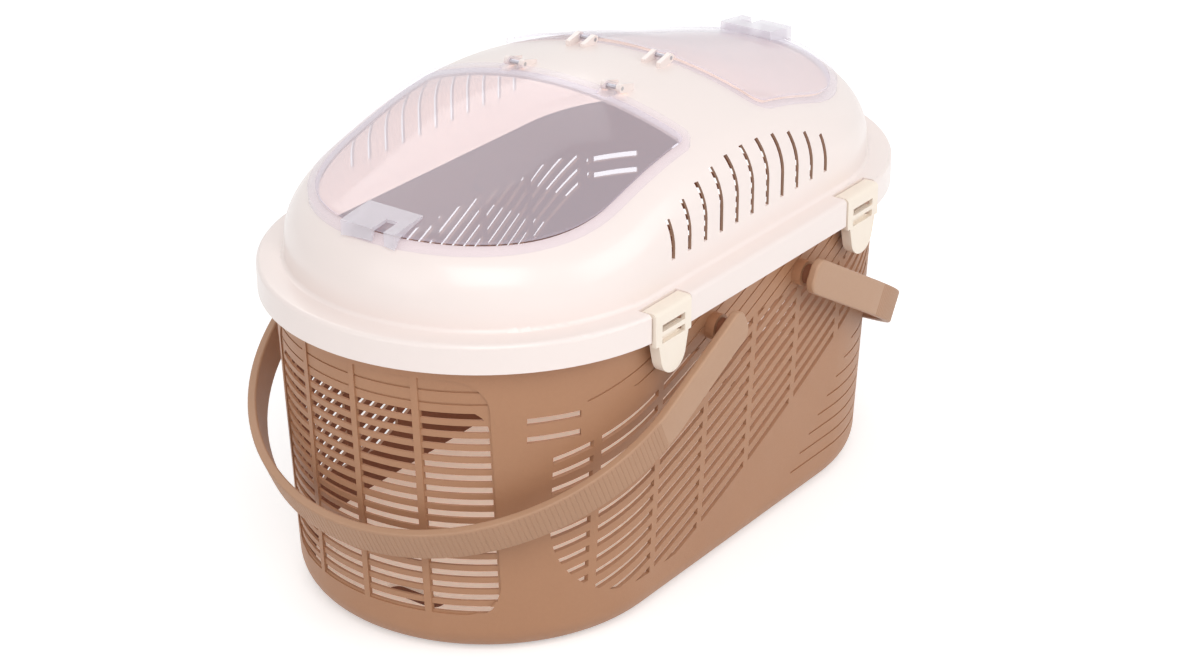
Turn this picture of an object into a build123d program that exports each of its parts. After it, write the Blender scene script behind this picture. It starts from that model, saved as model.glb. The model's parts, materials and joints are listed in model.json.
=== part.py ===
from build123d import *
from math import acos, asin, atan, atan2, cos, degrees, hypot, radians, sin, sqrt, tan
import os

# Small animal carrier basket: a lattice tub with a pale floor panel, a lift-off lid with two
# clear windows, four side clips and two swing handles.
# Millimetres. X runs from the front (-X) to the rear, -Y is the near side, +Z is up,
# and the origin is on the ground under the middle of the basket.

# Overall sizes
lid_length = 500.0
lid_width = 285.6
basket_height = 214.0
roof_height = 310.4

# Shared plastic and fit values
shell_wall = 2.6
running_gap = 0.3
pin_play = 0.05
same_place = 0.01

# Basket tub
basket_inset = 9.5
basket_draft = 0.046
base_edge_radius = 19.0
floor_thickness = 3.0
foot_height = 2.0
foot_ring_width = 8.0
rim_lip_reach = 2.8
rim_lip_height = 6.2

# Floor panel laid in the tub
panel_thickness = 3.0
panel_grip_length = 44.0
panel_grip_width = 14.0
panel_grip_margin = 26.0

# Lattice in the two round ends
end_row_pitch = 8.45
end_gap = 4.6
end_first_row = 33.3
end_top_margin = 45.0
end_lattice_width = 161.0
end_lattice_depth = 87.0
end_corner_radius = 14.0
end_panel_depth = 0.9
end_panel_margin = 1.5
end_panel_drop = 21.0
end_panel_corner_radius = 20.0
end_rib_spacing = 42.5
end_rib_width = 4.2

# Sloping lattice in the long sides
side_row_pitch = 10.5
side_gap = 4.8
slat_radius = 1100.0
slat_start_angle = 14.5
side_end_margin = 69.0
side_top_margin = 43.0
side_lattice_bottom = 29.0
side_corner_radius = 60.0
side_rib_margin = 26.0
side_rib_spacing = 52.0
side_rib_width = 5.2
side_first_gap_height = 31.4
side_first_gap_place = -75.8

# Shallow grooves that carry the lattice pattern on over the plain plastic
groove_depth = 0.7
groove_width = 1.3
side_groove_top_margin = 15.0
corner_groove_start = 60.0
corner_groove_bottom = 28.0
corner_groove_lean = 1.03
corner_grooves = 8

# Pair of level slots on each round corner
corner_slot_length = 34.0
corner_slot_height = 4.6
corner_slot_depth = 20.8
corner_slot_drops = (62.5, 50.0)
corner_slot_angle = 55.7
corner_clear_length = 18.0
corner_clear_drop = 71.0

# Handles and their pivots
pivot_half_spacing = 50.0
pivot_drop = 32.0
handle_end_margin = 28.0
handle_inner_gap = 2.4
handle_thickness = 6.0
handle_width = 23.0
handle_rest_gap = 0.5
front_handle_lift = 3.5
handle_end_radius = 8.0
handle_edge_radius = 1.6
pivot_pad_radius = 8.5
handle_boss_radius = 6.5
handle_boss_length = 6.5
handle_boss_root = 1.0
pivot_pin_radius = 3.0
pivot_head_radius = 5.5
pivot_head_thickness = 2.0
pivot_pin_depth = 4.0

# Lid
shoulder_rise = 7.0
skirt_height = 18.7
shoulder_radius = 3.0
dome_side_inset = 15.5
dome_end_inset = 18.5
dome_roll_radius = 38.0
dome_wall = 1.8
crease_radius = 3.0
crown_radius_along = 373.0
crown_arc_half_length = 92.0
crown_radius_across = 290.0
locating_rib_depth = 6.0
locating_rib_gap = 0.6
locating_rib_width = 2.0

# Vents in the lid's sides
vent_count = 11
vent_pitch = 17.3
vent_width = 3.6
vent_sill = 17.0
vent_tallest_share = 0.49
vent_shortest_share = 0.28

# Clear windows
window_thickness = 2.2
window_rim_width = 5.0
window_rim_rise = 1.5
window_overlap = 7.0
window_corner_radius = 12.0
window_side_margin = 22.0
front_window_tip_margin = 13.5
front_window_edge = 29.0
front_hinge_half_spacing = 38.0
rear_window_tip_margin = 20.5
rear_window_edge = 44.0
rear_hinge_half_spacing = 30.0

# Window hinges
hinge_edge_gap = 4.0
hinge_rise = 3.4
knuckle_radius = 3.0
knuckle_width = 8.0
hinge_lug_width = 3.2
hinge_lug_tail = 12.0
knuckle_arm = 12.0
hinge_arm_tip = 0.5
hinge_pin_radius = 1.4

# Clear hoods at the window tips
hood_length = 27.0
hood_width = 41.0
hood_height = 13.0
hood_slope = 0.12
hood_wall = 2.2
hood_slot_width = 9.0
hood_slot_offset = 8.0

# Side clips
clip_place = 109.0
clip_width = 37.0
clip_side_gap = 1.2
clip_plate = 3.0
clip_stand_out = 0.8
clip_corner_radius = 3.0
clip_barrel_radius = 2.6
clip_pin_radius = 1.1
clip_hinge_inset = 8.6
clip_hinge_drop = 2.8
clip_slot_length = 24.0
clip_slot_height = 4.5
clip_slot_drops = (11.4, 19.0)
clip_tongue_root_drop = 22.0
clip_tongue_length = 22.0
clip_tongue_width = 31.0
clip_tongue_tip_radius = 13.0
clip_nose_width = 20.0
clip_nose_gap = 0.4
clip_lug_length = 5.0
clip_lug_wall = 1.6

# Levels and places that follow from the sizes above
shoulder_level = basket_height + shoulder_rise
skirt_bottom = shoulder_level - skirt_height
floor_level = foot_height + floor_thickness
panel_top = floor_level + panel_thickness
half_length = lid_length / 2
half_width = lid_width / 2
shoulder_underside = shoulder_level - shell_wall
rim_seat_level = basket_height + running_gap
dome_length = lid_length - 2 * dome_end_inset
dome_width = lid_width - 2 * dome_side_inset
dome_height = roof_height - shoulder_level
crown_half_angle = asin(crown_arc_half_length / crown_radius_along)
crown_axis_height = roof_height - crown_radius_across
pivot_height = basket_height - pivot_drop
handle_reach = half_length - handle_end_margin
handle_arm_inner = half_width + handle_inner_gap
handle_arm_outer = handle_arm_inner + handle_thickness
handle_boss_face = handle_arm_inner - handle_boss_length
pivot_pad_face = handle_boss_face - running_gap
clip_outer = half_width + clip_stand_out
clip_inner = clip_outer - clip_plate
clip_hinge_out = half_width - clip_hinge_inset
clip_hinge_level = shoulder_level - clip_hinge_drop
clip_notch_half = clip_width / 2 + clip_side_gap
clip_nose_tip = half_width - basket_inset + rim_lip_reach + clip_nose_gap
clip_tongue_root = shoulder_level - clip_tongue_root_drop
side_lattice_start = side_end_margin - half_length
side_lattice_end = half_length - side_end_margin
side_lattice_top = basket_height - side_top_margin
corner_clear_start = side_lattice_start + corner_clear_length
window_hinges = {
    -1: (front_window_edge, front_hinge_half_spacing),
    1: (rear_window_edge, rear_hinge_half_spacing),
}
window_tips = {
    -1: dome_length / 2 - front_window_tip_margin,
    1: dome_length / 2 - rear_window_tip_margin,
}
window_half_width = dome_width / 2 - window_side_margin


def lid_outline(inset):
    """The carrier's plan, straight sides with round ends, set in from the skirt."""
    return SlotOverall(lid_length - 2 * inset, lid_width - 2 * inset)


def block(x_range, y_range, z_range):
    """A box between two limits on each axis."""
    size = (x_range[1] - x_range[0], y_range[1] - y_range[0], z_range[1] - z_range[0])
    return Pos(x_range[0], y_range[0], z_range[0]) * Box(*size, align=(Align.MIN,) * 3)


def bar_along_y(x, z, radius, y_start, y_end):
    """A round bar along Y between two places."""
    circle = Plane.XZ.offset(-y_start) * Pos(x, z) * Circle(radius)
    return extrude(circle, amount=-(y_end - y_start))


def bar_along_x(y, z, radius, x_start, x_end):
    """A round bar along X between two places."""
    circle = Plane.YZ.offset(x_start) * Pos(y, z) * Circle(radius)
    return extrude(circle, amount=x_end - x_start)


def wall_inset(level):
    """How far the basket's outer wall is set in from the skirt at a level."""
    return basket_inset + basket_draft * (basket_height - level)


def tub(inset, bottom, top, edge_radius=0.0):
    """A solid with the basket's leaning wall, set in by inset, from one level to another."""
    base = Pos(0, 0, bottom) * lid_outline(wall_inset(bottom) + inset)
    body = extrude(base, amount=top - bottom, taper=-degrees(atan(basket_draft)))
    if edge_radius > 0:
        body = fillet(body.edges().group_by(Axis.Z)[0], edge_radius)
    return body


def end_row_count():
    """How many open rows fit between the first row and the plain band under the rim."""
    return int((basket_height - end_top_margin - end_first_row) / end_row_pitch) + 1


def end_lattice():
    """Gaps of one round end, drawn looking along X: rows of slots between upright ribs."""
    top = end_first_row + end_row_pitch * (end_row_count() - 1)
    middle = (end_first_row + top) / 2
    height = top - end_first_row + 2 * end_gap
    rows = Sketch()
    for row in range(end_row_count()):
        level = end_first_row + end_row_pitch * row
        rows += Pos(0, level) * Rectangle(end_lattice_width, end_gap)
    rows &= Pos(0, middle) * RectangleRounded(end_lattice_width, height, end_corner_radius)
    for rib in (-1, 0, 1):
        rows -= Pos(rib * end_rib_spacing, middle) * Rectangle(end_rib_width, height)
    return rows


def end_panel():
    """Rounded field round an end's lattice, where the wall is set back between the ribs."""
    low = end_first_row - end_gap / 2 - end_panel_margin
    high = basket_height - end_panel_drop
    width = end_lattice_width + 2 * end_panel_margin
    middle = (low + high) / 2
    field = Pos(0, middle) * RectangleRounded(width, high - low, end_panel_corner_radius)
    for rib in (-1, 0, 1):
        field -= Pos(rib * end_rib_spacing, middle) * Rectangle(end_rib_width, high - low)
    return field


def end_grooves():
    """Shallow closed rows between the end's open rows and the top of its field."""
    rows = Sketch()
    first = end_row_count()
    last = int((basket_height - end_panel_drop - end_first_row) / end_row_pitch)
    for row in range(first, last + 1):
        level = end_first_row + end_row_pitch * row
        rows += Pos(0, level) * Rectangle(end_lattice_width, groove_width)
    return rows & end_panel()


def slat_gap(row, height):
    """One gap between two sloping slats, as a band between two equal arcs."""
    start = radians(slat_start_angle)
    rise = slat_radius * (cos(start) - cos(slat_angle_at(side_first_gap_place)))
    level = side_first_gap_height - rise + side_row_pitch * row - height / 2
    centre = (side_lattice_start - slat_radius * sin(start), level + slat_radius * cos(start))
    sweep = degrees(slat_angle_at(side_lattice_end)) - slat_start_angle
    low = CenterArc(centre, slat_radius, slat_start_angle - 90, sweep)
    high = Pos(0, height) * low
    return make_face([low, Line(low @ 1, high @ 1), high, Line(high @ 0, low @ 0)])


def slat_angle_at(place):
    """The slope of the slats, in radians, at a place along X."""
    return asin(sin(radians(slat_start_angle)) + (place - side_lattice_start) / slat_radius)


def side_rows(height, top):
    """All the sloping rows under a level, inside the side lattice's outline."""
    length = side_lattice_end - side_lattice_start
    reach = top - side_lattice_bottom
    middle = (side_lattice_start + length / 2, side_lattice_bottom + reach / 2)
    window = Pos(*middle) * Rectangle(length, reach)
    window = fillet(window.vertices().group_by(Axis.Y)[0].sort_by(Axis.X)[0], side_corner_radius)
    rows = Sketch()
    for row in range(int(reach / side_row_pitch) + 1):
        rows += slat_gap(row, height)
    return rows & window


def side_lattice():
    """Open gaps of one long side, drawn looking along Y."""
    rows = side_rows(side_gap, side_lattice_top)
    first_rib = side_lattice_start + side_rib_margin
    rib_count = int((side_lattice_end - first_rib) / side_rib_spacing) + 1
    for rib in range(rib_count):
        place = first_rib + side_rib_spacing * rib
        rows -= Pos(place, pivot_height / 2) * Rectangle(side_rib_width, 2 * pivot_height)
    clear_height = corner_clear_drop - side_top_margin
    clear_level = side_lattice_top - clear_height / 2
    for place in (side_lattice_start, side_lattice_end):
        rows -= Pos(place, clear_level) * Rectangle(2 * corner_clear_length, clear_height)
    return rows


def side_grooves():
    """Shallow grooves over the open rows of a side and in its plain rear corner."""
    side_groove_top = basket_height - side_groove_top_margin
    band_height = side_groove_top - side_lattice_top
    band_length = side_lattice_end - corner_clear_start
    band_middle = (corner_clear_start + band_length / 2, side_lattice_top + band_height / 2)
    grooves = side_rows(groove_width, side_groove_top) & (
        Pos(*band_middle) * Rectangle(band_length, band_height)
    )
    for row in range(corner_grooves):
        level = corner_groove_bottom + side_row_pitch * row
        start = corner_groove_start + side_row_pitch * row / corner_groove_lean
        length = side_lattice_end - start
        grooves += Pos(start + length / 2, level) * Rectangle(length, groove_width)
    return grooves


def corner_slots():
    """Two slots, one above the other, square through each of the four round corners."""
    end_radius = half_width - wall_inset(basket_height - corner_slot_drops[0])
    end_centre = half_length - half_width
    slots = []
    for drop in corner_slot_drops:
        slot = Box(corner_slot_depth, corner_slot_length, corner_slot_height)
        slot = Pos(end_radius, 0, basket_height - drop) * slot
        for angle in (-corner_slot_angle, corner_slot_angle):
            turned = Pos(end_centre, 0, 0) * Rot(0, 0, angle) * slot
            slots += [turned, Rot(0, 0, 180) * turned]
    return slots


def make_basket():
    """Tub with a standing ring, a rim lip, open lattices and pads for the handle pivots."""
    body = tub(0, 0, basket_height, base_edge_radius)
    lip = Pos(0, 0, basket_height - rim_lip_height) * lid_outline(basket_inset - rim_lip_reach)
    body += extrude(lip, amount=rim_lip_height)
    body -= tub(shell_wall, floor_level, basket_height + shell_wall, base_edge_radius - shell_wall)
    body -= extrude(lid_outline(wall_inset(0) + base_edge_radius + foot_ring_width), amount=foot_height)

    end_start = half_length - end_lattice_depth
    end_cut = extrude(Plane.YZ.offset(end_start) * end_lattice(), amount=end_lattice_depth)
    end_field = extrude(Plane.YZ.offset(end_start) * end_panel(), amount=end_lattice_depth)
    end_mark = extrude(Plane.YZ.offset(end_start) * end_grooves(), amount=end_lattice_depth)
    side_start = half_width / 2
    side_cut = extrude(Plane.XZ.offset(side_start) * side_lattice(), amount=half_width - side_start)
    side_mark = extrude(Plane.XZ.offset(side_start) * side_grooves(), amount=half_width - side_start)
    skin_top = basket_height - rim_lip_height
    skin = tub(0, 0, skin_top) - tub(groove_depth, 0, skin_top)
    panel_skin = tub(0, 0, skin_top) - tub(end_panel_depth, 0, skin_top)
    deep_skin = tub(0, 0, skin_top) - tub(end_panel_depth + groove_depth, 0, skin_top)
    end_cuts = [end_cut, end_field & panel_skin, end_mark & deep_skin]
    side_cuts = [side_cut, side_mark & skin]
    cuts = end_cuts + [Rot(0, 0, 180) * cut for cut in end_cuts]
    cuts += side_cuts + [mirror(cut, about=Plane.XZ) for cut in side_cuts]
    cuts += corner_slots()
    body -= [solid for cut in cuts for solid in cut.solids()]

    for x in (-pivot_half_spacing, pivot_half_spacing):
        for side in (-1, 1):
            pad_ends = (side * pivot_seat(), side * pivot_pad_face)
            body += bar_along_y(x, pivot_height, pivot_pad_radius, *pad_ends)
            body -= bar_along_y(x, pivot_height, pivot_pin_radius, *pad_ends)
    return body


def make_floor_panel():
    """Pale panel that fills the tub's floor, with a slot at each end to lift it by."""
    inset = shell_wall + running_gap
    panel = tub(inset, floor_level, basket_height, base_edge_radius - inset)
    panel &= block((-half_length, half_length), (-half_width, half_width), (floor_level, panel_top))
    for end in (-1, 1):
        place = end * (half_length - wall_inset(floor_level) - base_edge_radius - panel_grip_margin)
        grip = Rot(0, 0, 90) * SlotOverall(panel_grip_length, panel_grip_width)
        panel -= extrude(Pos(place, 0, floor_level) * grip, amount=panel_thickness)
    return panel


def pivot_seat():
    """How far out the pads' inner faces lie, where the pivot pins' heads are seated."""
    wall_in = half_width - wall_inset(pivot_height) - shell_wall
    return wall_in - basket_draft * pivot_pad_radius


def make_pivot_pin(x, side):
    """Headed pin pressed in from inside the basket, with its free end in the handle."""
    seat = pivot_seat()
    tip = handle_arm_inner + pivot_pin_depth - running_gap
    shank = bar_along_y(x, pivot_height, pivot_pin_radius, side * seat, side * tip)
    head_start = side * (seat - pivot_head_thickness)
    return shank + bar_along_y(x, pivot_height, pivot_head_radius, head_start, side * seat)


def handle_angle(end):
    """How far a handle hangs below level: down to the basket's end wall, or a little less."""
    reach = handle_reach - handle_thickness / 2
    back = handle_width / 2
    wall = half_length - wall_inset(pivot_height)
    along = reach + basket_draft * back
    across = basket_draft * reach - back
    rest = acos((wall + handle_rest_gap - pivot_half_spacing) / hypot(along, across))
    rest = degrees(rest + atan2(across, along))
    return rest if end > 0 else rest - front_handle_lift


def make_handle(end):
    """Flat band bent round the carrier's end, hanging from two pivots. end is -1 or 1."""
    bend_radius = (handle_arm_inner + handle_arm_outer) / 2
    straight = handle_reach - bend_radius
    back = handle_width / 2
    outer = Pos(straight, 0) * Circle(handle_arm_outer)
    outer += Pos((straight - back) / 2, 0) * Rectangle(straight + back, 2 * handle_arm_outer)
    inner = Pos(straight, 0) * Circle(handle_arm_inner)
    inner += Pos((straight - back) / 2, 0) * Rectangle(straight + back, 2 * handle_arm_inner)
    open_side = Pos(-lid_length / 2 - back, 0) * Rectangle(lid_length, 2 * lid_width)
    band = extrude(outer - inner - open_side, amount=handle_width / 2, both=True)
    ends = band.edges().filter_by(Axis.Y).group_by(Axis.X)[0]
    band = fillet(ends, handle_end_radius)
    outside = band.edges().filter_by(lambda edge: edge.length > handle_width)
    band = fillet(outside, handle_edge_radius)
    for side in (-1, 1):
        boss_face = side * handle_boss_face
        bore_end = side * (handle_arm_inner + pivot_pin_depth)
        boss_end = side * (handle_arm_inner + handle_boss_root)
        band += bar_along_y(0, 0, handle_boss_radius, boss_face, boss_end)
        band -= bar_along_y(0, 0, pivot_pin_radius + pin_play, boss_face, bore_end)
    turn = Rot(0, handle_angle(end), 0)
    hanging = Pos(pivot_half_spacing, 0, pivot_height) * turn * band
    return hanging if end > 0 else Rot(0, 0, 180) * hanging


def crown(inset):
    """Everything under the roof's crown: a long shallow barrel, set in by inset."""
    arc_centre = roof_height - crown_radius_along
    spread = 90 - degrees(crown_half_angle)
    arc = CenterArc((0, arc_centre), crown_radius_along - inset, spread, 2 * degrees(crown_half_angle))
    reach = half_length + dome_end_inset
    fall = (reach - (arc @ 0).X) * tan(crown_half_angle)
    right = Line(arc @ 0, (reach, (arc @ 0).Y - fall))
    left = Line(arc @ 1, (-reach, (arc @ 1).Y - fall))
    down = Line(right @ 1, (reach, crown_axis_height))
    axis_line = Line(down @ 1, (-reach, crown_axis_height))
    up = Line(axis_line @ 1, left @ 1)
    profile = Plane.XZ * make_face([arc, left, up, axis_line, down, right])
    return revolve(profile, Axis((0, 0, crown_axis_height), (1, 0, 0)))


def dome(inset):
    """The solid dome of the lid, set in by inset on its wall, its roll and its crown."""
    plan = Pos(0, 0, shoulder_underside - shell_wall)
    plan *= SlotOverall(dome_length - 2 * inset, dome_width - 2 * inset)
    walls = extrude(plan, amount=roof_height)
    body = walls & crown(inset)
    start = shoulder_level + shell_wall
    top_edges = body.edges().filter_by(lambda edge: (edge @ 0.5).Z > start)
    top_edges = top_edges.filter_by(lambda edge: on_dome_wall(edge @ 0.5, inset))
    top_edges = top_edges.filter_by(lambda edge: abs((edge @ 0).Z - (edge @ 1).Z) < dome_roll_radius)
    return fillet(top_edges, dome_roll_radius - inset)


def on_dome_wall(point, inset):
    """Whether a point lies on the dome's upright wall."""
    radius = dome_width / 2 - inset
    past_centre = max(abs(point.X) - (dome_length - dome_width) / 2, 0)
    return abs(hypot(past_centre, point.Y) - radius) < same_place


def window_outline(end, inset=0.0):
    """Plan of a window, set in by inset: straight hinge edge and sides and a round tip."""
    half = window_half_width
    edge = window_hinges[end][0]
    centre = window_tips[end] - half
    plan = Pos(centre, 0) * Circle(half - inset)
    plan += Pos(centre / 2, 0) * Rectangle(centre, 2 * (half - inset))
    plan &= Pos(edge + inset + half, 0) * Rectangle(2 * half, 2 * half)
    corners = plan.vertices().group_by(Axis.X)[0]
    plan = fillet(corners, window_corner_radius - inset)
    return plan if end > 0 else Rot(0, 0, 180) * plan


def upright(plan):
    """A plan carried up through the whole lid."""
    return extrude(Pos(0, 0, shoulder_level) * plan, amount=roof_height)


def sagitta(radius, distance):
    """How far an arc has fallen at a distance from its highest point."""
    return radius - sqrt(radius**2 - distance**2)


def roof_level(x, y=0.0):
    """Height of the dome's outer face above a place near its middle line."""
    past_arc = max(abs(x) - crown_arc_half_length, 0)
    fall = sagitta(crown_radius_along, abs(x) - past_arc) + past_arc * tan(crown_half_angle)
    into_roll = max(dome_roll_radius - (dome_length / 2 - abs(x)), 0)
    fall += sagitta(dome_roll_radius, into_roll) + sagitta(crown_radius_across, y)
    return roof_height - fall


def hinge_centre(end):
    """Place and height of a window's hinge axis."""
    edge, spacing = window_hinges[end]
    place = edge - hinge_edge_gap
    return end * place, roof_level(place, spacing - knuckle_width / 2) + hinge_rise


def hinge_arm(end, length, middle, width):
    """A rounded arm along X from a hinge axis, at one place along Y."""
    x, z = hinge_centre(end)
    tip = Pos(x + length, z - knuckle_radius) * Rectangle(hinge_arm_tip, 2 * knuckle_radius)
    ring = Pos(x, z) * Circle(knuckle_radius)
    shape = make_hull(ring.edges() + tip.edges())
    return Pos(0, middle + width / 2, 0) * extrude(Plane.XZ * shape, amount=width)


def make_window(end):
    """Clear cover that follows the dome, with a thicker rim and two hinge knuckles."""
    x, z = hinge_centre(end)
    spacing = window_hinges[end][1]
    under = dome(-running_gap)
    cover = (dome(-running_gap - window_thickness) - under) & upright(window_outline(end))
    rim = dome(-running_gap - window_thickness - window_rim_rise) - under
    cover += rim & upright(window_outline(end) - window_outline(end, window_rim_width))
    for side in (-1, 1):
        middle = side * spacing
        cover += hinge_arm(end, end * knuckle_arm, middle, knuckle_width) - under
        start = middle - knuckle_width
        cover -= bar_along_y(x, z, hinge_pin_radius + pin_play, start, start + 2 * knuckle_width)
    return cover


def make_hood(end, window):
    """Clear hood over the window's tip, open below, with a slot in its front wall."""
    tip = window_tips[end]
    front = tip + hood_wall / 2
    cover_top = running_gap + window_thickness
    top = roof_level(tip) + cover_top + hood_height
    rise = hood_slope * hood_length

    def wedge(inset):
        """The hood's outside, or the hollow under it, down to the lid's shoulder."""
        near = front - hood_length + inset
        far = front - inset
        near_top = (near, top + rise - inset)
        far_top = (far, top - inset)
        sides = Polyline((near, shoulder_level), near_top, far_top, (far, shoulder_level), close=True)
        half = hood_width / 2 - inset
        return extrude(Plane.XZ * make_face(sides), amount=half, both=True)

    hood = wedge(0) - wedge(hood_wall) - dome(-cover_top)
    slot_x = (front - hood_length / 2, front + hood_wall)
    slot_y = (hood_slot_offset - hood_slot_width / 2, hood_slot_offset + hood_slot_width / 2)
    hood -= block(slot_x, slot_y, (shoulder_level, top + rise))
    hood = hood if end > 0 else Rot(0, 0, 180) * hood
    return hood - window


def make_hinge_pin(end, side):
    """Plain pin through a window knuckle and the two lugs beside it."""
    x, z = hinge_centre(end)
    middle = side * window_hinges[end][1]
    half = knuckle_width / 2 + running_gap + hinge_lug_width
    return bar_along_y(x, z, hinge_pin_radius, middle - half, middle + half)


def make_lid():
    """Domed lid with a skirt, vents, window openings, hinge lugs and clip notches."""
    lid = extrude(Pos(0, 0, skirt_bottom) * lid_outline(0), amount=skirt_height)
    lid = fillet(lid.edges().group_by(Axis.Z)[-1], shoulder_radius)
    lid += dome(0)
    crease = lid.edges().filter_by(lambda edge: abs((edge @ 0.5).Z - shoulder_level) < same_place)
    crease = crease.filter_by(lambda edge: on_dome_wall(edge @ 0.5, 0))
    lid = fillet(crease, crease_radius)
    skirt_room = Pos(0, 0, skirt_bottom) * lid_outline(shell_wall)
    lid -= extrude(skirt_room, amount=shoulder_underside - skirt_bottom)
    lid -= dome(dome_wall)

    rib_outer = basket_inset + shell_wall + locating_rib_gap
    rib_start = basket_height - locating_rib_depth
    rib = lid_outline(rib_outer) - lid_outline(rib_outer + locating_rib_width)
    lid += extrude(Pos(0, 0, rib_start) * rib, amount=shoulder_underside + shell_wall / 2 - rib_start)
    seat = lid_outline(basket_inset) - lid_outline(basket_inset + shell_wall)
    lid += extrude(Pos(0, 0, rim_seat_level) * seat, amount=shoulder_underside - rim_seat_level)

    additions = []
    cuts = []
    lug_half = clip_notch_half + clip_lug_length
    lug_in = clip_hinge_out - clip_pin_radius - clip_lug_wall
    lug_out = clip_hinge_out + clip_pin_radius + clip_lug_wall
    lug_low = clip_hinge_level - clip_pin_radius - clip_lug_wall
    notch_in = clip_hinge_out - clip_barrel_radius - 2 * running_gap
    for x in (-clip_place, clip_place):
        for side in (-1, 1):
            lug_y = sorted((side * lug_in, side * lug_out))
            notch_y = sorted((side * notch_in, side * (half_width + clip_plate)))
            notch_x = (x - clip_notch_half, x + clip_notch_half)
            lug_x = (x - lug_half, x + lug_half)
            additions.append(block(lug_x, lug_y, (lug_low, shoulder_underside)))
            cuts.append(block(notch_x, notch_y, (skirt_bottom, shoulder_level + crease_radius)))
            pin_y = side * clip_hinge_out
            cuts.append(bar_along_x(pin_y, clip_hinge_level, clip_pin_radius, *lug_x))

    lid_inside = dome(dome_wall / 2)
    lug_step = knuckle_width / 2 + running_gap + hinge_lug_width / 2
    for end in (-1, 1):
        cuts.append(upright(window_outline(end, window_overlap)))
        for side in (-1, 1):
            middle = side * window_hinges[end][1]
            for place in (middle - lug_step, middle + lug_step):
                lug = hinge_arm(end, -end * hinge_lug_tail, place, hinge_lug_width)
                additions.append(lug - lid_inside)
            cuts.append(make_hinge_pin(end, side))

    vent_reach = dome_roll_radius + dome_wall
    vent_bottom = shoulder_level + vent_sill
    for place in range(vent_count):
        offset = 2 * place / (vent_count - 1) - 1
        x = vent_pitch * offset * (vent_count - 1) / 2
        share = vent_tallest_share - (vent_tallest_share - vent_shortest_share) * offset**2
        heights = (vent_bottom, vent_bottom + share * dome_height)
        for side in (-1, 1):
            reach = sorted((side * (dome_width / 2 - vent_reach), side * half_width))
            cuts.append(block((x - vent_width / 2, x + vent_width / 2), reach, heights))
    lid += additions
    return lid - cuts


def make_clip_pin(x, side):
    """Pin across a notch in the lid, held in the lugs at the notch's two ends."""
    half = clip_notch_half + clip_lug_length
    return bar_along_x(side * clip_hinge_out, clip_hinge_level, clip_pin_radius, x - half, x + half)


def make_clip(x, side):
    """Clip that hangs over the skirt: barrel, plate with two slots, hook nose and tongue."""
    top = clip_hinge_level + clip_barrel_radius
    barrel = Pos(clip_hinge_out, clip_hinge_level) * Circle(clip_barrel_radius)
    plate_width = clip_outer - clip_hinge_out
    plate = Pos(clip_hinge_out + plate_width / 2, (top + clip_tongue_root) / 2)
    plate *= Rectangle(plate_width, top - clip_tongue_root)
    plate = fillet(plate.vertices().group_by(Axis.X)[-1].sort_by(Axis.Y)[-1], clip_corner_radius)
    hollow_size = (clip_inner - clip_hinge_out, top - clip_plate - clip_tongue_root)
    hollow = Pos(clip_hinge_out, clip_tongue_root) * Rectangle(*hollow_size, align=Align.MIN)
    nose_top = basket_height - rim_lip_height - running_gap
    nose_low = shoulder_level - clip_slot_drops[1] + clip_slot_height / 2
    nose_root = clip_inner + clip_plate / 2
    nose = Polyline((nose_root, nose_low), (nose_root, nose_top), (clip_nose_tip, nose_top), close=True)
    nose = make_face(nose)
    body = extrude(Plane.YZ * (plate - hollow + barrel), amount=clip_width / 2, both=True)
    body += extrude(Plane.YZ * nose, amount=clip_nose_width / 2, both=True)

    tip_centre = clip_tongue_root - clip_tongue_length + clip_tongue_tip_radius
    tip = Pos(0, tip_centre) * Circle(clip_tongue_tip_radius)
    root = Pos(0, clip_tongue_root) * Line((-clip_tongue_width / 2, 0), (clip_tongue_width / 2, 0))
    tongue = make_hull(tip.edges() + root.edges())
    body += Pos(0, clip_outer, 0) * extrude(Plane.XZ * tongue, amount=clip_outer - clip_nose_tip)
    for drop in clip_slot_drops:
        slot = Box(clip_slot_length, 2 * clip_plate, clip_slot_height)
        body -= Pos(0, clip_outer, shoulder_level - drop) * slot
    bore = clip_pin_radius + pin_play
    body -= bar_along_x(clip_hinge_out, clip_hinge_level, bore, -clip_width, clip_width)
    placed = body if side > 0 else Rot(0, 0, 180) * body
    return Pos(x, 0, 0) * placed


end_names = {-1: "front", 1: "rear"}
side_names = {-1: "near", 1: "far"}
os.makedirs("parts", exist_ok=True)

pieces = {"basket": make_basket(), "floor_panel": make_floor_panel(), "lid_shell": make_lid()}
for end, end_name in end_names.items():
    window = make_window(end)
    pieces[end_name + "_window"] = window
    pieces[end_name + "_window_hood"] = make_hood(end, window)
    pieces[end_name + "_handle"] = make_handle(end)
    for side, side_name in side_names.items():
        name = end_name + "_" + side_name
        pieces[name + "_pivot_pin"] = make_pivot_pin(end * pivot_half_spacing, side)
        pieces[name + "_hinge_pin"] = make_hinge_pin(end, side)
        pieces[name + "_clip"] = make_clip(end * clip_place, side)
        pieces[name + "_clip_pin"] = make_clip_pin(end * clip_place, side)

for name, piece in pieces.items():
    export_step(piece, "parts/" + name + ".step")
    print(name, len(piece.solids()), round(piece.volume / 1000, 1), "cm3")
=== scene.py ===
# %% [markdown]
# # A small animal carrier basket
#
# The object is a moulded plastic carrier: a brown lattice basket, a cream domed lid with
# two clear windows that swing up on hinges, four clips, and two handles that hang at the
# ends. The CAD model holds its shapes, its sizes and its joints. This scene loads that
# model, gives each part its finish, shades the big shells as smoothly as their moulds
# would, and cuts the fine ribs of the grips. Every size is in metres.

# %% Load the CAD model
import json
from math import asin, atan2, cos, pi, radians, sin, sqrt

import bpy
from mathutils import Matrix, Vector

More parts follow.
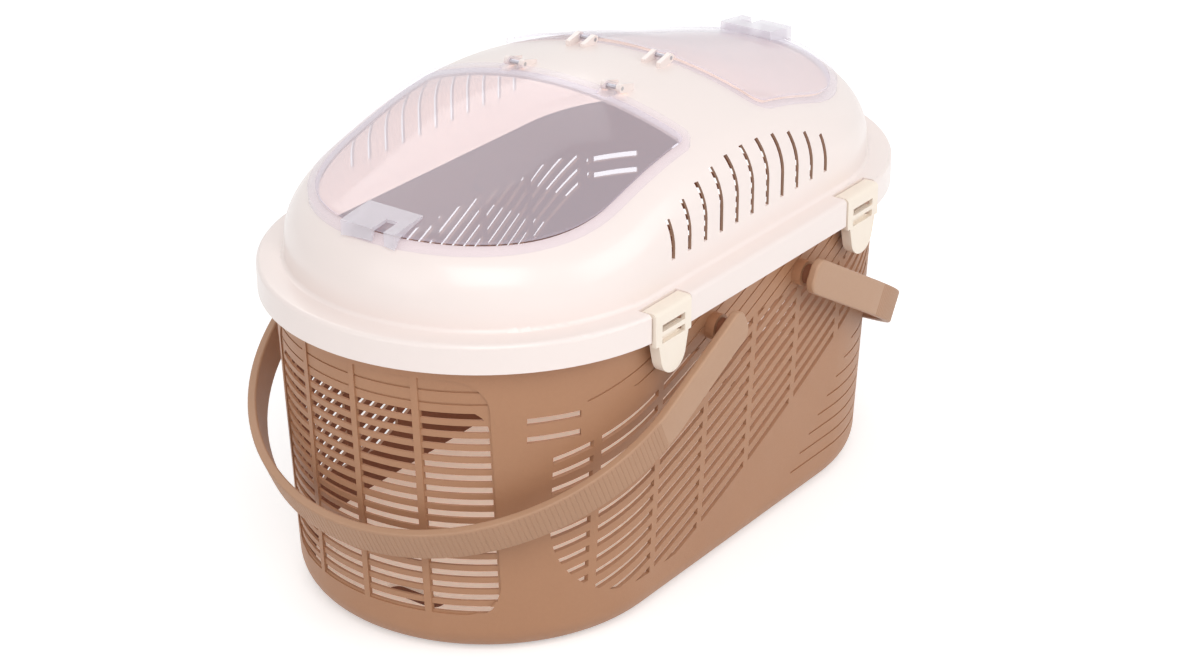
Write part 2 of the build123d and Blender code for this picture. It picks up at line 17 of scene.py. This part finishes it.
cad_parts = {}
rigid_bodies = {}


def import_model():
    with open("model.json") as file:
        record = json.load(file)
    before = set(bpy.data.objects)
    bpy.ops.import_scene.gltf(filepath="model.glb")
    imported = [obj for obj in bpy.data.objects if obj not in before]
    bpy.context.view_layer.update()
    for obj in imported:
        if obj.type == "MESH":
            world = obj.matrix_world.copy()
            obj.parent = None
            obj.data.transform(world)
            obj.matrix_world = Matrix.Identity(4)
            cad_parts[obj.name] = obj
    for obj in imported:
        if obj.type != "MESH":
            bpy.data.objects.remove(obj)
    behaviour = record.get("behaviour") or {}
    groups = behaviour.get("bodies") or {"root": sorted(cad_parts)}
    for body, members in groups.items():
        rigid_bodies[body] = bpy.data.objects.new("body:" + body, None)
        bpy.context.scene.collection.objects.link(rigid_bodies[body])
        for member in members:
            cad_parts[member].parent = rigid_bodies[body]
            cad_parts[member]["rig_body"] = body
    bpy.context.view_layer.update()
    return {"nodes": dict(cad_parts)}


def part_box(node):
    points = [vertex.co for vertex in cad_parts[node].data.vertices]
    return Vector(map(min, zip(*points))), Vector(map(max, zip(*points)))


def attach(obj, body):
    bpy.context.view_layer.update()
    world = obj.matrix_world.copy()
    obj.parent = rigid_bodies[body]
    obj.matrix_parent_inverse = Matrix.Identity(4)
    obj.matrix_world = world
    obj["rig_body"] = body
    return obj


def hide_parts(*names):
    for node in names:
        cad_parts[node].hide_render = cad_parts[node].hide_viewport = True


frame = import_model()
print("CAD nodes:", len(frame["nodes"]))

# %% [markdown]
# ## Camera
#
# The photograph looks down on the carrier's near front corner from about 1.9 m away.
# A camera could be aimed with a constraint, but its three directions are known here, so
# they go straight into its matrix. The lens is long, which keeps the lines nearly
# parallel, as they are in the photograph.

# %% Camera at the photograph's viewing angle
camera_data = bpy.data.cameras.new("camera")
camera_data.sensor_width = 36.0
camera_data.lens = 85.7024
camera = bpy.data.objects.new("camera", camera_data)
bpy.context.scene.collection.objects.link(camera)
camera_right = Vector((0.58810403, -0.80878419, -0.00133516))
camera_up = Vector((0.3479323, 0.25150657, 0.90315423))
camera_back = Vector((-0.73012106, -0.53161319, 0.42931417))
camera_place = Vector((-1.37022915, -1.00165283, 0.92718015))
camera.matrix_world = Matrix.Translation(camera_place) @ Matrix(
    (camera_right, camera_up, camera_back)
).transposed().to_4x4()
bpy.context.scene.camera = camera
print("Camera distance, metres:", round(camera_place.length, 2))

# %% [markdown]
# ## Studio
#
# The photograph has a plain white ground. White paper under soft lamps gives the same
# look. Turning the lamps up until the paper burns out would also burn out the cream lid,
# so the lamps stay at a plain level and the floor gets a little light of its own that
# only the camera, mirror-like surfaces and clear plastic see. The floor still shows a
# soft shadow. The sky works the same way: it is white to look at and lights less.

# %% Floor and sky
FLOOR_SIZE = 40.0
FLOOR_GREY = 0.86
FLOOR_SEEN = 0.42
SKY_SEEN = 1.0
SKY_LIGHT = 0.50


def sky_strength(tree, seen, lighting):
    """A strength that is one value for rays that look and another for the light given."""
    rays = tree.nodes.new("ShaderNodeLightPath")
    looks = rays.outputs["Is Camera Ray"]
    for kind in ("Is Glossy Ray", "Is Transmission Ray"):
        either = tree.nodes.new("ShaderNodeMath")
        either.operation = "MAXIMUM"
        tree.links.new(looks, either.inputs[0])
        tree.links.new(rays.outputs[kind], either.inputs[1])
        looks = either.outputs[0]
    blend = tree.nodes.new("ShaderNodeMapRange")
    blend.inputs["To Min"].default_value = lighting
    blend.inputs["To Max"].default_value = seen
    tree.links.new(looks, blend.inputs["Value"])
    return blend.outputs["Result"]


bpy.ops.mesh.primitive_plane_add(size=FLOOR_SIZE, location=(0, 0, 0))
floor = bpy.context.active_object
floor.name = "floor"
floor_paint = bpy.data.materials.new("floor_paper")
floor_paint.use_nodes = True
floor_tree = floor_paint.node_tree
floor_shader = floor_tree.nodes["Principled BSDF"]
floor_shader.inputs["Base Color"].default_value = (FLOOR_GREY, FLOOR_GREY, FLOOR_GREY, 1)
floor_shader.inputs["Roughness"].default_value = 0.9
floor_shader.inputs["Specular IOR Level"].default_value = 0.1
floor_shader.inputs["Emission Color"].default_value = (1, 1, 1, 1)
floor_tree.links.new(
    sky_strength(floor_tree, FLOOR_SEEN, 0.0), floor_shader.inputs["Emission Strength"]
)
floor.data.materials.append(floor_paint)

world = bpy.data.worlds.new("sky")
world.use_nodes = True
bpy.context.scene.world = world
sky = world.node_tree.nodes["Background"]
sky.inputs["Color"].default_value = (1, 1, 1, 1)
world.node_tree.links.new(
    sky_strength(world.node_tree, SKY_SEEN, SKY_LIGHT), sky.inputs["Strength"]
)
print("Floor and sky:", floor.name, world.name)

# %% [markdown]
# ## Lamps
#
# Four square lamps stand round the object, as soft boxes do in a studio. The key lamp
# is the strongest and stands high at the near front corner. The fill lamp lights the
# near side, the front lamp the end with the larger window, and the back lamp the roof
# and the far side. The lamps are large, so the shadows have soft edges.

# %% Lamps and view
LAMP_SIZE = 1.6
LAMP_AIM = Vector((0, 0, 0.15))
LAMPS = {
    "key_lamp": ((-1.5, -1.3, 2.1), 25),
    "fill_lamp": ((0.6, -2.2, 1.3), 15),
    "front_lamp": ((-2.2, 0.4, 1.1), 6),
    "back_lamp": ((1.2, 1.6, 2.2), 12),
}

for lamp_name, (place, watts) in LAMPS.items():
    bpy.ops.object.light_add(type="AREA", location=place)
    lamp = bpy.context.active_object
    lamp.name = lamp_name
    lamp.data.energy = watts
    lamp.data.size = LAMP_SIZE
    lamp.rotation_euler = (LAMP_AIM - Vector(place)).to_track_quat("-Z", "Y").to_euler()
bpy.context.scene.view_settings.view_transform = "Standard"

# %% [markdown]
# ## A short way to write shader maths
#
# A material is a tree of nodes. Built by hand in code, each sum takes several lines, and
# the idea behind it is lost. The two small classes here let a sum be written as a sum:
# a Wire is a node's output, and adding, multiplying or raising wires adds Math nodes.

# %% Wires: sums that add Math nodes


class Wire:
    """One output in a material's tree. Python sums on it add Math nodes."""

    def __init__(self, paint, socket):
        self.paint = paint
        self.socket = socket

    def maths(self, operation, other):
        """A Math node on this wire and on another wire or a number."""
        return self.paint.node(
            "ShaderNodeMath", {"operation": operation}, {0: self, 1: other}
        )

    def __add__(self, other):
        return self.maths("ADD", other)

    def __mul__(self, other):
        return self.maths("MULTIPLY", other)

    def __pow__(self, other):
        return self.maths("POWER", other)

    __radd__ = __add__
    __rmul__ = __mul__


print("Sums on wires: add, multiply, power")

# %% [markdown]
# ## A material and its nodes
#
# A Paint is one material. Its one method for nodes sets a node up and fills or links its
# sockets, and the others are the few nodes that every finish here uses: noise for what
# varies, a mix of two colours, a bump and the shader at the end. Patterns are read from
# the piece's own coordinates, so they stay on it when it moves.

# %% Paint: one material


class Paint:
    """One material and its tree."""

    def __init__(self, name):
        self.material = bpy.data.materials.new(name)
        self.material.use_nodes = True
        self.tree = self.material.node_tree
        self.tree.nodes.clear()
        self.spot = self.node("ShaderNodeTexCoord", output="Object")

    def node(self, kind, settings=None, sockets=None, output=0):
        """Adds a node, sets it, fills or links its sockets, and gives one output."""
        made = self.tree.nodes.new(kind)
        for name, value in (settings or {}).items():
            setattr(made, name, value)
        for name, value in (sockets or {}).items():
            if isinstance(value, Wire):
                self.tree.links.new(value.socket, made.inputs[name])
            else:
                made.inputs[name].default_value = value
        return Wire(self, made.outputs[output])

    def noise(self, scale, detail=2.0, roughness=0.5):
        """Noise from 0 to 1 over the piece. The scale counts blotches in a metre."""
        sockets = {
            "Vector": self.spot, "Scale": scale, "Detail": detail, "Roughness": roughness
        }
        return self.node("ShaderNodeTexNoise", sockets=sockets, output="Fac")

    def mixed(self, factor, first, second):
        """One colour that goes over into another as the factor rises from 0 to 1."""
        sockets = {"Factor": factor, 6: first, 7: second}
        return self.node("ShaderNodeMix", {"data_type": "RGBA"}, sockets, output=2)

    def bumped(self, height, distance):
        """A normal from a height from 0 to 1, for relief of a depth in metres."""
        sockets = {"Height": height, "Distance": distance, "Strength": 1.0}
        return self.node("ShaderNodeBump", sockets=sockets)

    def finish(self, sockets):
        """Feeds a Principled shader and puts it on the surface."""
        return self.surface(self.node("ShaderNodeBsdfPrincipled", sockets=sockets))

    def surface(self, shader):
        """Puts a shader on the surface and gives the finished material."""
        output = self.tree.nodes.new("ShaderNodeOutputMaterial")
        self.tree.links.new(shader.socket, output.inputs["Surface"])
        return self.material


def colour(red, green, blue):
    """A colour as a picture editor names it, 0 to 255, turned into light values."""
    values = [channel / 255 for channel in (red, green, blue)]
    return tuple(
        v / 12.92 if v <= 0.04045 else ((v + 0.055) / 1.055) ** 2.4 for v in values
    ) + (1.0,)


print("Mid grey in light values:", round(colour(128, 128, 128)[0], 3))

# %% [markdown]
# ## Moulded plastics
#
# The basket and the handles are matte plastic from a mould with a fine spark-eroded
# grain. The lid is the same kind of plastic from a polished mould, so it shines and has
# only the faint waviness of cooled plastic. One recipe with other numbers serves them
# all: a colour that drifts a little, a roughness that drifts a little, and a fine bump.

# %% The recipe for moulded plastic
DRIFT_SCALE = 14
SPECKLE_SCALE = 420
SPECKLE_SHARE = 0.3
GLOSS_SCALE = 60
COAT_ROUGHNESS = 0.12
ERODED_SCALE = 1500
POLISHED_SCALE = 900


def moulded(
    name, main, deep, roughness, grain_depth,
    grain_scale=ERODED_SCALE, coat=0.0, gloss_drift=0.1, glow=0.0,
):
    """Moulded plastic with a slow drift of colour and gloss and a fine mould grain."""
    paint = Paint(name)
    drift = paint.noise(DRIFT_SCALE, detail=3.0)
    speckle = paint.noise(SPECKLE_SCALE)
    share = (1 - SPECKLE_SHARE) * drift + SPECKLE_SHARE * speckle
    relief = paint.noise(grain_scale, detail=3.0, roughness=0.6)
    gloss = paint.noise(GLOSS_SCALE)
    return paint.finish(
        {
            "Base Color": paint.mixed(share, deep, main),
            "Roughness": roughness - gloss_drift / 2 + gloss_drift * gloss,
            "Normal": paint.bumped(relief, grain_depth),
            "Coat Weight": coat,
            "Coat Roughness": COAT_ROUGHNESS,
            # A glow, where one is set, is painted light.
            "Emission Color": main,
            "Emission Strength": glow,
        }
    )


print("Moulded plastic varies in tone over", round(1 / DRIFT_SCALE, 3), "metres")

# %% [markdown]
# ## The object's plastics
#
# Outside, the basket is a warm brown and the handles are a lighter tan, a little deeper
# on the grips. Inside the basket little light arrives, so its plastic gets a deeper brown
# there as painted shade. The lid is a glossy cream, its clips a little yellower, and the
# long walls in its narrow vents get a darker painted shade. The loose floor panel is a
# pale cream with a weak painted glow, which stands in for light that passes into it.

# %% Basket, handle, lid and panel plastics
basket_brown = moulded(
    "basket_brown",
    colour(184, 137, 104),
    colour(170, 123, 91),
    roughness=0.5,
    grain_depth=0.00012,
)
# Painted shade: a deeper brown for the inside of the basket, its pivot pins and the
# handles' bosses.
basket_painted_shade = moulded(
    "basket_painted_shade",
    colour(132, 82, 56),
    colour(122, 75, 50),
    roughness=0.65,
    grain_depth=0.00001,
)
handle_tan = moulded(
    "handle_tan",
    colour(192, 152, 123),
    colour(180, 140, 111),
    roughness=0.45,
    grain_depth=0.0001,
)
handle_grip = moulded(
    "handle_grip",
    colour(185, 144, 115),
    colour(172, 132, 104),
    roughness=0.55,
    grain_depth=0.0001,
)
lid_cream = moulded(
    "lid_cream",
    colour(248, 235, 230),
    colour(247, 234, 229),
    roughness=0.3,
    grain_depth=0.000004,
    grain_scale=POLISHED_SCALE,
    coat=0.25,
    gloss_drift=0.02,
)
clip_cream = moulded(
    "clip_cream",
    colour(251, 239, 224),
    colour(248, 235, 220),
    roughness=0.4,
    grain_depth=0.00002,
    grain_scale=POLISHED_SCALE,
)
# Painted shade for the long walls in the near side's vents.
vent_painted_shade = moulded(
    "vent_painted_shade",
    colour(168, 138, 118),
    colour(160, 130, 112),
    roughness=0.6,
    grain_depth=0.00002,
    grain_scale=POLISHED_SCALE,
)
# A pale cream with a weak painted glow for light that passes into the panel.
panel_painted_glow = moulded(
    "panel_painted_glow",
    colour(250, 230, 212),
    colour(247, 226, 208),
    roughness=0.5,
    grain_depth=0.0001,
    glow=0.22,
)
print("Plastics for the outside:", basket_brown.name, handle_tan.name, lid_cream.name)

# %% [markdown]
# ## Clear plastic
#
# The windows and the hoods at their tips are clear plastic. A refracting glass shader
# would keep the lamps' light from falling inside, so each is a mix of a see-through
# shader and a hazy gloss. The haze takes over where the eye skims the surface, by the
# fifth power of how far it turns away, which is close to what real plastic does. A
# window's polished rim is nearly clear, its broad sheet has a cool haze, and the hoods
# are paler and a little less hazy than the sheet.

# %% Window and hood plastic
SEE_THROUGH = colour(254, 253, 255)
CLEAR_ROUGHNESS = 0.06
CLEAR_SMEARS = 0.04
SMEAR_SCALE = 30
SKIM_POWER = 5.0


def clear_plastic(name, haze, veil):
    """See-through plastic: a haze of one colour that thickens where the eye skims it."""
    paint = Paint(name)
    see_through = paint.node("ShaderNodeBsdfTransparent", sockets={"Color": SEE_THROUGH})
    roughness = CLEAR_ROUGHNESS + CLEAR_SMEARS * paint.noise(SMEAR_SCALE)
    hazy_gloss = paint.node(
        "ShaderNodeBsdfPrincipled", sockets={"Base Color": veil, "Roughness": roughness}
    )
    turned = paint.node("ShaderNodeLayerWeight", sockets={"Blend": 0.5}, output="Facing")
    thick = haze + (1 - haze) * turned**SKIM_POWER
    sockets = {"Fac": thick, 1: see_through, 2: hazy_gloss}
    return paint.surface(paint.node("ShaderNodeMixShader", sockets=sockets))


window_clear = clear_plastic("window_clear", 0.05, colour(246, 242, 244))
sheet_haze = clear_plastic("sheet_haze", 0.43, colour(226, 218, 231))
hood_clear = clear_plastic("hood_clear", 0.34, colour(248, 245, 250))
print("Clear plastics:", window_clear.name, sheet_haze.name, hood_clear.name)

# %% [markdown]
# ## The lid's inner face
#
# The cream lid is thin enough for studio light to come through it, so seen through the
# windows its inner face is nearly as bright as its outside. Tracing that light through
# the wall would cost much time. The inner face gets it instead as painted light, a weak
# warm glow.

# %% Glowing inner face
glow = Paint("lid_inner_painted_glow")
lid_inside_painted_glow = glow.finish(
    {
        "Base Color": colour(247, 236, 228),
        "Roughness": 0.4 + 0.05 * glow.noise(GLOSS_SCALE),
        "Emission Color": colour(252, 230, 218),
        "Emission Strength": 0.50,
    }
)
print("Inner face:", lid_inside_painted_glow.name)

# %% [markdown]
# ## Steel pins
#
# The windows and the clips turn on thin drawn wire pins. Bare steel is a metal shader
# with a grey that varies finely and a roughness that varies more finely still.

# %% Pin steel
WIRE_TONE_SCALE = 500
WIRE_GLOSS_SCALE = 900

steel = Paint("pin_steel")
wire_tone = steel.noise(WIRE_TONE_SCALE)
pin_steel = steel.finish(
    {
        "Base Color": steel.mixed(wire_tone, colour(178, 178, 180), colour(205, 205, 208)),
        "Metallic": 1.0,
        "Roughness": 0.3 + 0.1 * steel.noise(WIRE_GLOSS_SCALE),
    }
)
print("Steel:", pin_steel.name)

# %% [markdown]
# ## Pieces from the CAD model
#
# The CAD model has the right shape for every part. Its triangles are loose and shade
# flat, so each node is copied, the copy's corners are merged, and it is shaded smooth up
# to a crease angle. The copies then get the finish of the plastic or steel that the real
# part is made of.

# %% A smooth copy of a CAD node
MERGED_WITHIN = 0.00001
CREASE = radians(32)


def select_only(*objects):
    """Selects these objects and nothing else, the first one active."""
    bpy.ops.object.select_all(action="DESELECT")
    for item in objects:
        item.select_set(True)
    bpy.context.view_layer.objects.active = objects[0]


def smooth_copy(node, finish):
    """A merged copy of a CAD node that stands for it."""
    source = frame["nodes"][node]
    copy = bpy.data.objects.new(node + "_piece", source.data.copy())
    bpy.context.scene.collection.objects.link(copy)
    copy.data.materials.clear()
    copy.data.materials.append(finish)
    select_only(copy)
    bpy.ops.mesh.customdata_custom_splitnormals_clear()
    bpy.ops.object.mode_set(mode="EDIT")
    bpy.ops.mesh.select_all(action="SELECT")
    bpy.ops.mesh.remove_doubles(threshold=MERGED_WITHIN)
    bpy.ops.object.mode_set(mode="OBJECT")
    bpy.ops.object.shade_smooth_by_angle(angle=CREASE)
    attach(copy, source["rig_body"])
    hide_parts(node)
    return copy


print("Corners merge within", MERGED_WITHIN, "metres")

# %% [markdown]
# ## Small parts and shells
#
# The pins, the clips and the floor panel are done once they are copied. The handles, the
# lid, the basket and the windows keep a name here, because later steps work on them. The
# handles' pivot pins are moulded in the basket's brown and get its deeper brown of painted
# shade, and all the others are steel.

# %% Copy every node
ENDS = ("front", "rear")

for node in sorted(frame["nodes"]):
    if node.endswith("_pivot_pin"):
        # The pivot pins get the basket's deeper brown of painted shade.
        smooth_copy(node, basket_painted_shade)
    elif node.endswith("_pin"):
        smooth_copy(node, pin_steel)
    elif node.endswith("_clip"):
        smooth_copy(node, clip_cream)
    elif node == "floor_panel":
        smooth_copy(node, panel_painted_glow)

handles = [smooth_copy(end + "_handle", handle_tan) for end in ENDS]
lid = smooth_copy("lid_shell", lid_cream)
basket = smooth_copy("basket", basket_brown)
windows = [smooth_copy(end + "_window", window_clear) for end in ENDS]
for end in ENDS:
    smooth_copy(end + "_window_hood", hood_clear)
pieces = [item for item in bpy.data.objects if item.name.endswith("_piece")]
print("Pieces:", len(pieces), "for", len(frame["nodes"]), "CAD nodes")

# %% [markdown]
# ## Shading as smooth as the mould
#
# The big shells are cut by hundreds of slots, so their triangles are long and uneven, and
# light smeared over them shows every one. On a real moulding the light follows the
# mould's form and not the holes in it. So each corner on a big face gets the direction
# that the form itself has there, worked out from its sizes. A shrinkwrapped donor mesh
# with transferred normals would do the same, but the form here is simple enough to write.
# The dome is a wall and a crown with a ball rolled along their inner corner, and the
# basket is a wall and a floor with the same kind of rolled corner.

# %% Walls, crown and rolled edges
DOME_SIDE_INSET = 0.0155
DOME_END_INSET = 0.0185
DOME_ROLL = 0.038
CROWN_ALONG = 0.373
CROWN_ARC_HALF = 0.092
CROWN_ACROSS = 0.290
ROOF_HEIGHT = 0.3104

crown_angle = asin(CROWN_ARC_HALF / CROWN_ALONG)
crown_axis = ROOF_HEIGHT - CROWN_ACROSS


def wall_of_plan(point, half_long, half_wide):
    """Depth in a straight-sided, round-ended wall, and the way out of it."""
    past = max(abs(point.x) - (half_long - half_wide), 0)
    out = Vector((past if point.x > 0 else -past, point.y, 0))
    return half_wide - out.length, out.normalized()


def crown_of_roof(point):
    """Depth under the crown, which is round along and across, and the way out of it."""
    round_axis = sqrt(point.y**2 + (point.z - crown_axis) ** 2)
    height = round_axis + crown_axis - (ROOF_HEIGHT - CROWN_ALONG)
    angle = min(max(atan2(point.x, height), -crown_angle), crown_angle)
    depth = CROWN_ALONG - point.x * sin(angle) - height * cos(angle)
    up = cos(angle) / round_axis
    return depth, Vector((sin(angle), point.y * up, (point.z - crown_axis) * up))


def rolled(first, second, radius):
    """Depth and way out between two faces that meet over a rolled edge."""
    first_part = radius - first[0]
    second_part = radius - second[0]
    share = first[1].dot(second[1])
    first_weight = first_part - share * second_part
    second_weight = second_part - share * first_part
    if first_part <= 0 or first_weight <= 0:
        return second
    if second_part <= 0 or second_weight <= 0:
        return first
    from_ball = (first_weight * first[1] + second_weight * second[1]) / (1 - share**2)
    return radius - from_ball.length, from_ball.normalized()


print("Crown's axis, metres up:", round(crown_axis, 4))

# %% [markdown]
# ## Directions of the dome and the basket
#
# Both forms take their length and width from the lid's box, less an inset. The basket's
# wall leans in towards the floor, so its inset grows with the depth below the rim. Each
# function tells how deep a point lies in the form, which is negative outside it, and
# which way out is there.

# %% The two forms
BASKET_HEIGHT = 0.214
BASKET_INSET = 0.0095
BASKET_DRAFT = 0.046
BASE_ROLL = 0.019

lid_low, lid_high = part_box("lid_shell")
half_length = (lid_high[0] - lid_low[0]) / 2


def on_dome(point):
    """How deep a point lies in the dome, and its way out."""
    half_wide = -lid_low[1] - DOME_SIDE_INSET
    wall = wall_of_plan(point, half_length - DOME_END_INSET, half_wide)
    return rolled(wall, crown_of_roof(point), DOME_ROLL)


def on_basket(point):
    """How deep a point lies in the basket, and its way out of the wall or rolled base."""
    inset = BASKET_INSET + BASKET_DRAFT * (BASKET_HEIGHT - point.z)
    depth, out = wall_of_plan(point, half_length - inset, -lid_low[1] - inset)
    wall = (depth, (out - Vector((0, 0, BASKET_DRAFT))).normalized())
    return rolled(wall, (point.z, Vector((0, 0, -1))), BASE_ROLL)


print("Half length, metres:", round(half_length, 4))

# %% [markdown]
# ## Directions on the shells
#
# A shell's face lies along the form where its own direction and the form's nearly agree,
# outside, or are nearly opposite, on the shell's inner face. Only the corners of such
# faces are set. The walls of the slots and the edges keep the shading they have.

# %% Shade the basket, the lid and the windows by their forms
ALIGNED = 0.985


def shade_by_form(item, on_form):
    """Sets the shading directions of the faces that lie along the form."""
    mesh = item.data
    directions = [corner.vector.copy() for corner in mesh.corner_normals]
    moved = 0
    for face in mesh.polygons:
        for corner in face.loop_indices:
            way = on_form(mesh.vertices[mesh.loops[corner].vertex_index].co)[1]
            side = way.dot(face.normal)
            if abs(side) > ALIGNED:
                directions[corner] = way if side > 0 else -way
                moved += 1
    mesh.normals_split_custom_set(directions)
    print(item.name, "corners set by the form:", moved, "of", len(mesh.loops))


shade_by_form(basket, on_basket)
for item in [lid] + windows:
    shade_by_form(item, on_dome)

# %% [markdown]
# ## Other finishes on some faces
#
# Three kinds of shell have more than one finish. The lid's inner face gets a painted glow
# that stands in for the studio light that comes through it. The basket's inner face gets a
# deeper brown of painted shade. A window's rim and edges are polished and nearly clear,
# and the outer face of its broad sheet has the cool haze. The long walls of the near
# side's vents get a darker painted shade for the shade that lies in a narrow slot. Faces
# are picked by how deep they lie in the form and by which way they look.

# %% Inner faces, window sheets and vents
FACING = 0.9
SHEET_UNDER = 0.0020
RIM_LEVEL = 0.0030
VENTS_OUT = 0.100
VENT_CLEAR = 0.020
ACROSS = 0.99


def refinish(item, finish, picks):
    """Gives a second finish to the faces that a test picks."""
    item.data.materials.append(finish)
    index = len(item.data.materials) - 1
    picked = [face for face in item.data.polygons if picks(face)]
    for face in picked:
        face.material_index = index
    print(item.name, "faces in", finish.name + ":", len(picked))


def looks_in(on_form):
    """A test for faces that look into the body."""
    return lambda face: on_form(face.center)[1].dot(face.normal) < -FACING


def on_sheet(face):
    """Whether a window's face is the outer face of its sheet, inside the raised rim."""
    depth, out = on_dome(face.center)
    return SHEET_UNDER < -depth < RIM_LEVEL and out.dot(face.normal) > FACING


def in_vent(face):
    """Whether a face of the lid is a long wall of one of its near side's vents."""
    place = face.center
    high = place.z > BASKET_HEIGHT + VENT_CLEAR
    return high and -place.y > VENTS_OUT and abs(face.normal.x) > ACROSS


# The lid's inner faces get a painted glow that stands in for light through the wall.
refinish(lid, lid_inside_painted_glow, looks_in(on_dome))
# The basket's inner faces get a deeper brown of painted shade.
refinish(basket, basket_painted_shade, looks_in(on_basket))
for window in windows:
    refinish(window, sheet_haze, on_sheet)
# The near vents' long walls get a darker painted shade.
refinish(lid, vent_painted_shade, in_vent)

# %% [markdown]
# ## Ribbed grips
#
# The outer face of each handle has fine ribs across it for the fingers. They are cut, as
# a maker would cut them: thin round bars are laid across the bend a rib's pitch apart,
# and a Boolean takes them out of the band, which leaves shallow round grooves. The bars
# are made where the handle would be level and then turned to the slope at which it hangs.

# %% Bars across a handle's bend
PIVOT_X = 0.050
PIVOT_Z = 0.182
BEND_CENTRE = 0.0738
BEND_RADIUS = 0.1512
HANGING_SLOPES = (radians(26.44), radians(29.94))
GRIP_REACH = radians(85)
RIB_PITCH = 0.0033
GROOVE_RADIUS = 0.0008
GROOVE_LIFT = 0.00045
BAR_LENGTH = 0.032
BAR_SIDES = 12


def groove_bars(end, slope):
    """Bars across the outer face of one handle's bend. The end is -1 or 1."""
    bend_middle = Vector((BEND_CENTRE, 0, 0))
    count = round(2 * GRIP_REACH * BEND_RADIUS / RIB_PITCH)
    step = 2 * GRIP_REACH / count
    bpy.ops.object.select_all(action="DESELECT")
    bpy.ops.mesh.primitive_cylinder_add(
        vertices=BAR_SIDES,
        radius=GROOVE_RADIUS,
        depth=BAR_LENGTH,
        location=(BEND_CENTRE + BEND_RADIUS + GROOVE_LIFT, 0, 0),
    )
    bars = bpy.context.active_object
    bpy.ops.object.transform_apply(location=True, rotation=True, scale=True)
    bpy.ops.object.mode_set(mode="EDIT")
    bpy.ops.mesh.select_all(action="SELECT")
    bpy.ops.transform.rotate(value=GRIP_REACH, orient_axis="Z", center_override=bend_middle)
    for bar in range(count):
        bpy.ops.mesh.duplicate()
        bpy.ops.transform.rotate(value=-step, orient_axis="Z", center_override=bend_middle)
    bpy.ops.object.mode_set(mode="OBJECT")
    hang = Matrix.Translation((PIVOT_X, 0, PIVOT_Z)) @ Matrix.Rotation(slope, 4, "Y")
    if end < 0:
        hang = Matrix.Rotation(pi, 4, "Z") @ hang
    bars.data.transform(hang)
    print("Bars over one bend:", count + 1)
    return bars


# %% [markdown]
# ## Cutting the grooves
#
# Each handle gets its bars, the cut, and then two more finishes: the ribbed skin of the
# bend is a little deeper and rougher than the rest, and the round bosses at the pivots
# get the basket's deeper brown of painted shade, like the pins.

# %% Groove the bends and finish the handles
ARM_INNER = 0.1451
BOSS_REACH = 0.008


def is_grip(end, slope):
    """A test for faces in the outer skin of one handle's bend."""
    def test(face):
        out = end * face.center.x - PIVOT_X
        along = cos(slope) * out + sin(slope) * (PIVOT_Z - face.center.z) - BEND_CENTRE
        skin = sqrt(along**2 + face.center.y**2) > BEND_RADIUS - GROOVE_RADIUS
        return skin and abs(atan2(face.center.y, along)) < GRIP_REACH
    return test


def on_boss(face):
    """Whether a face belongs to the round bosses on the inner sides of the arms."""
    place = face.center
    level = abs(place.z - PIVOT_Z) < BOSS_REACH
    beside = abs(abs(place.x) - PIVOT_X) < BOSS_REACH
    return level and beside and abs(place.y) < ARM_INNER


for handle, end, slope in zip(handles, (-1, 1), HANGING_SLOPES):
    bars = groove_bars(end, slope)
    groove = handle.modifiers.new("grooves", "BOOLEAN")
    groove.operation = "DIFFERENCE"
    groove.object = bars
    select_only(handle)
    bpy.ops.object.modifier_apply(modifier=groove.name)
    bpy.data.objects.remove(bars)
    bpy.ops.object.shade_smooth_by_angle(angle=CREASE)
    refinish(handle, handle_grip, is_grip(end, slope))
    # The bosses get the basket's deeper brown of painted shade.
    refinish(handle, basket_painted_shade, on_boss)
